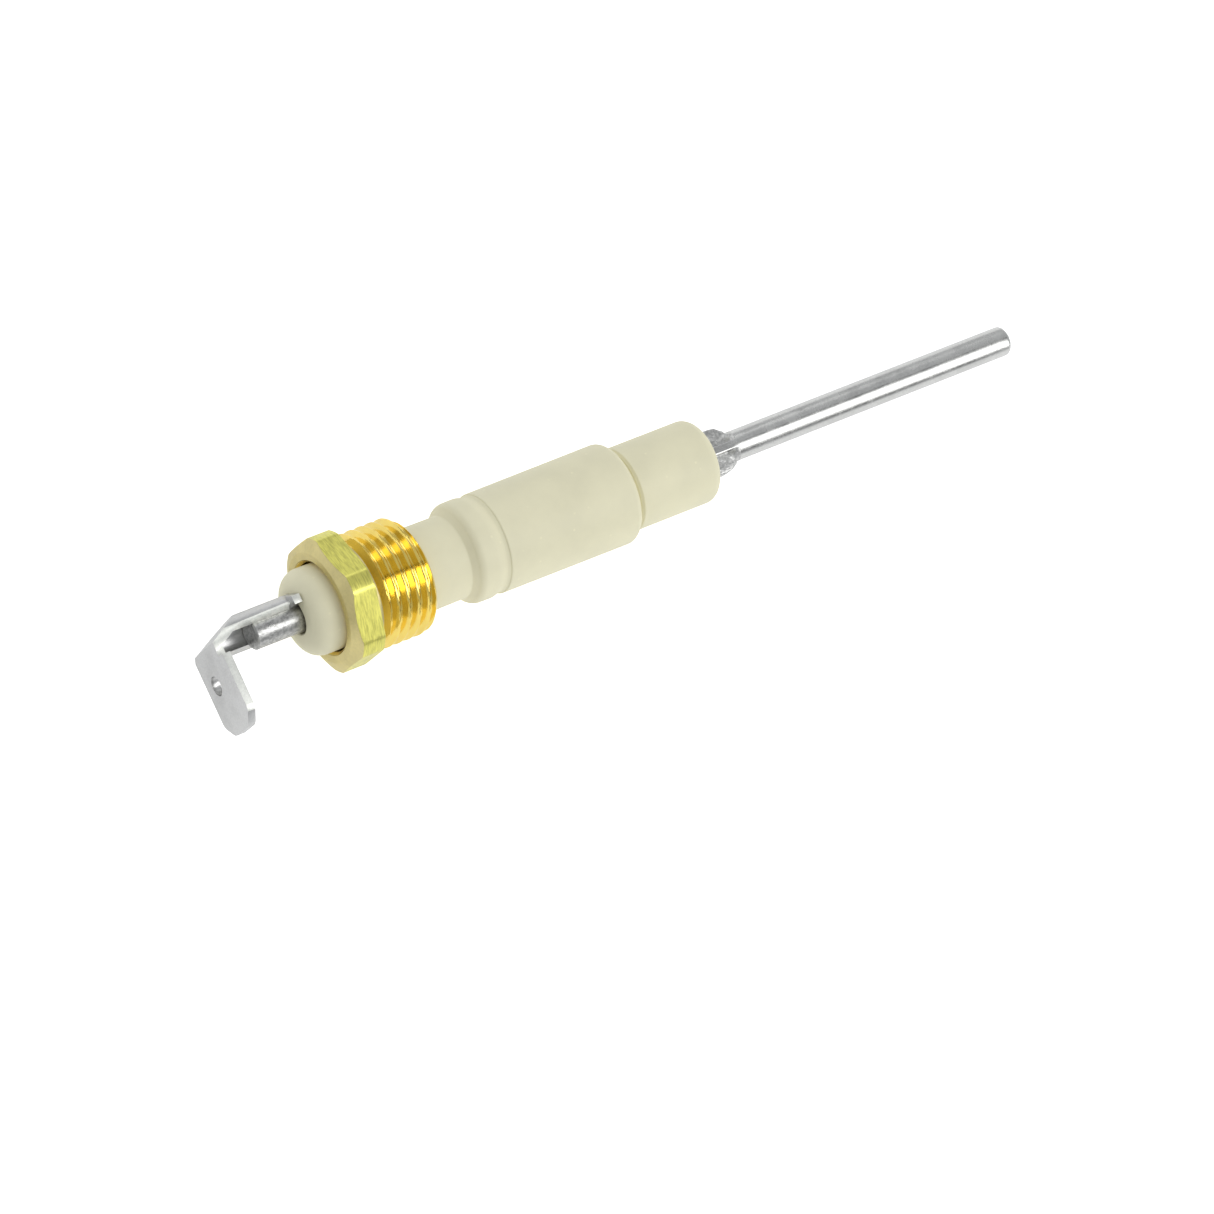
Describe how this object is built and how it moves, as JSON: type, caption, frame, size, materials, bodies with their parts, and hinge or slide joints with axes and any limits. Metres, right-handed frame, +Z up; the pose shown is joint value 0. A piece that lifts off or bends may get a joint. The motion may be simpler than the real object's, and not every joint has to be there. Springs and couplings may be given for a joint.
{
  "type": "flame sensor probe",
  "caption": "Straight flame-sensing rod in a stepped ceramic insulator, with a hollow threaded hex gland and a right-angle push-on blade terminal.",
  "frame": {"origin": "on the probe's axis, where the gland's thread begins under its hexagon", "axes": "+X along the probe towards the rod's tip; the terminal blade points to -Y; +Z up, through a corner of the hexagon"},
  "size_m": [0.0885, 0.0138, 0.013],
  "materials": {
    "brass_gland": "machined, satin flats and bright thread",
    "ceramic_body": "unglazed cream, matt",
    "steel_rod": "drawn, semi-bright",
    "plated_terminal": "plated sheet, satin"
  },
  "bodies": {
    "gland": {"gland_nut": "brass_gland"},
    "ceramic": {"insulator": "ceramic_body"},
    "electrode": {"flame_rod": "steel_rod", "terminal_tab": "plated_terminal"}
  },
  "joints": [
    {"name": "gland_slide", "type": "slide", "parent": "gland", "child": "ceramic", "axis": [1, 0, 0], "range_m": [-0.0043, 0.0108]},
    {"name": "rod_turn", "type": "hinge", "parent": "ceramic", "child": "electrode", "pos_m": [0, 0, 0], "axis": [1, 0, 0], "continuous": true}
  ]
}
